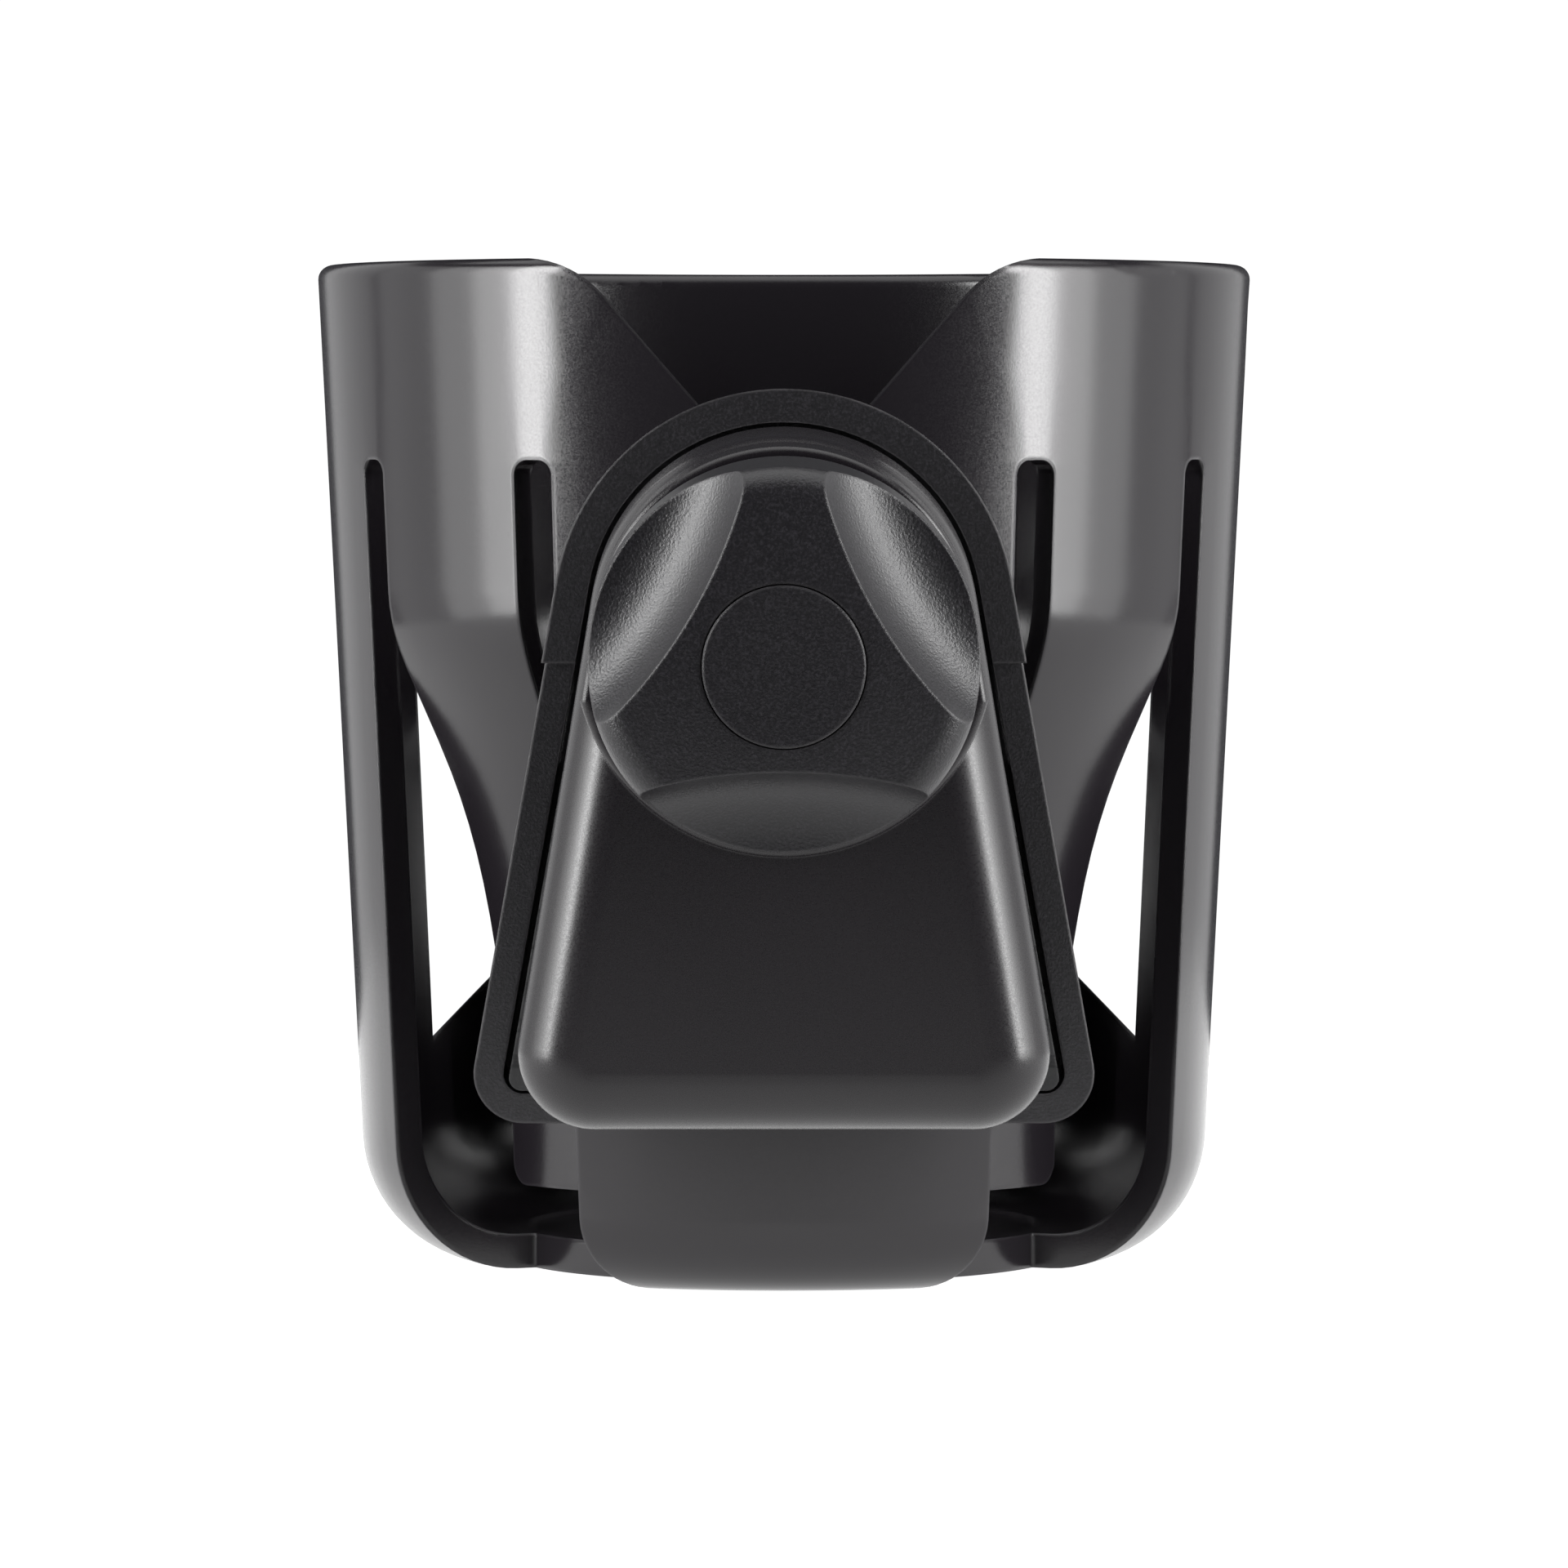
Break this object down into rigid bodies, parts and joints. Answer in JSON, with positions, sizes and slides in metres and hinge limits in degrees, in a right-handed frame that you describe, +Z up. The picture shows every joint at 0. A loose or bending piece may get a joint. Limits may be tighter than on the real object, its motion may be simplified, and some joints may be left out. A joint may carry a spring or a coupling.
{
  "type": "desk clamp cup holder",
  "caption": "Tapered plastic cup holder with inward-leaning spring fingers, turning on a screw clamp with padded jaws and a three-lobed hand knob.",
  "frame": {"origin": "middle of the fixed jaw's rubber grip face, where the object that carries the holder is clamped", "axes": "+Z up, along the cup's centre line; -Y out of the clamp towards the knob; +X across the clamp"},
  "size_m": [0.0928, 0.1522, 0.099],
  "materials": {
    "cup_plastic": "smooth satin black injection-moulded polypropylene",
    "housing_plastic": "smooth satin black moulded ABS",
    "textured_plastic": "black glass-filled nylon with a fine spark texture",
    "knob_plastic": "black nylon with a fine spark texture",
    "pad_rubber": "dull black moulded rubber",
    "acetal": "natural slippery acetal",
    "zinc_steel": "bright zinc-plated steel",
    "spring_steel": "drawn spring steel, lightly oiled",
    "brass": "machined brass"
  },
  "bodies": {
    "clamp_base": {"fixed_jaw": "textured_plastic", "fixed_jaw_pad": "pad_rubber", "clamp_bolt": "zinc_steel", "bolt_keeper": "zinc_steel", "keeper_screws": "zinc_steel", "clamp_spring": "spring_steel", "swivel_screw": "zinc_steel", "swivel_disc_spring": "spring_steel", "swivel_ring": "acetal", "swivel_nut": "zinc_steel"},
    "cup": {"cup_body": "cup_plastic"},
    "moving_jaw": {"moving_jaw_cover": "housing_plastic", "moving_jaw_frame": "textured_plastic", "moving_jaw_pad": "pad_rubber", "guide_pins": "spring_steel", "cover_screws": "zinc_steel", "thrust_washer": "spring_steel"},
    "knob": {"knob_body": "knob_plastic", "knob_cap": "knob_plastic", "knob_insert": "brass", "snap_ring": "spring_steel"}
  },
  "joints": [
    {"name": "cup_swivel", "type": "hinge", "parent": "clamp_base", "child": "cup", "pos_m": [0, -0.00231, 0.02931], "axis": [0, -0.9969, -0.0785], "continuous": true},
    {"name": "jaw_slide", "type": "slide", "parent": "clamp_base", "child": "moving_jaw", "axis": [0, -0.9969, -0.0785], "range_m": [-0.0037, 0.01], "deforming": ["clamp_spring"]},
    {"name": "knob_turn", "type": "hinge", "parent": "moving_jaw", "child": "knob", "pos_m": [0, -0.00231, 0.02931], "axis": [0, -0.9969, -0.0785], "range_deg": [-666, 1800]}
  ],
  "couplings": [
    {"joint": "knob_turn", "follows": "jaw_slide", "rad_per_m": 3141.6}
  ]
}
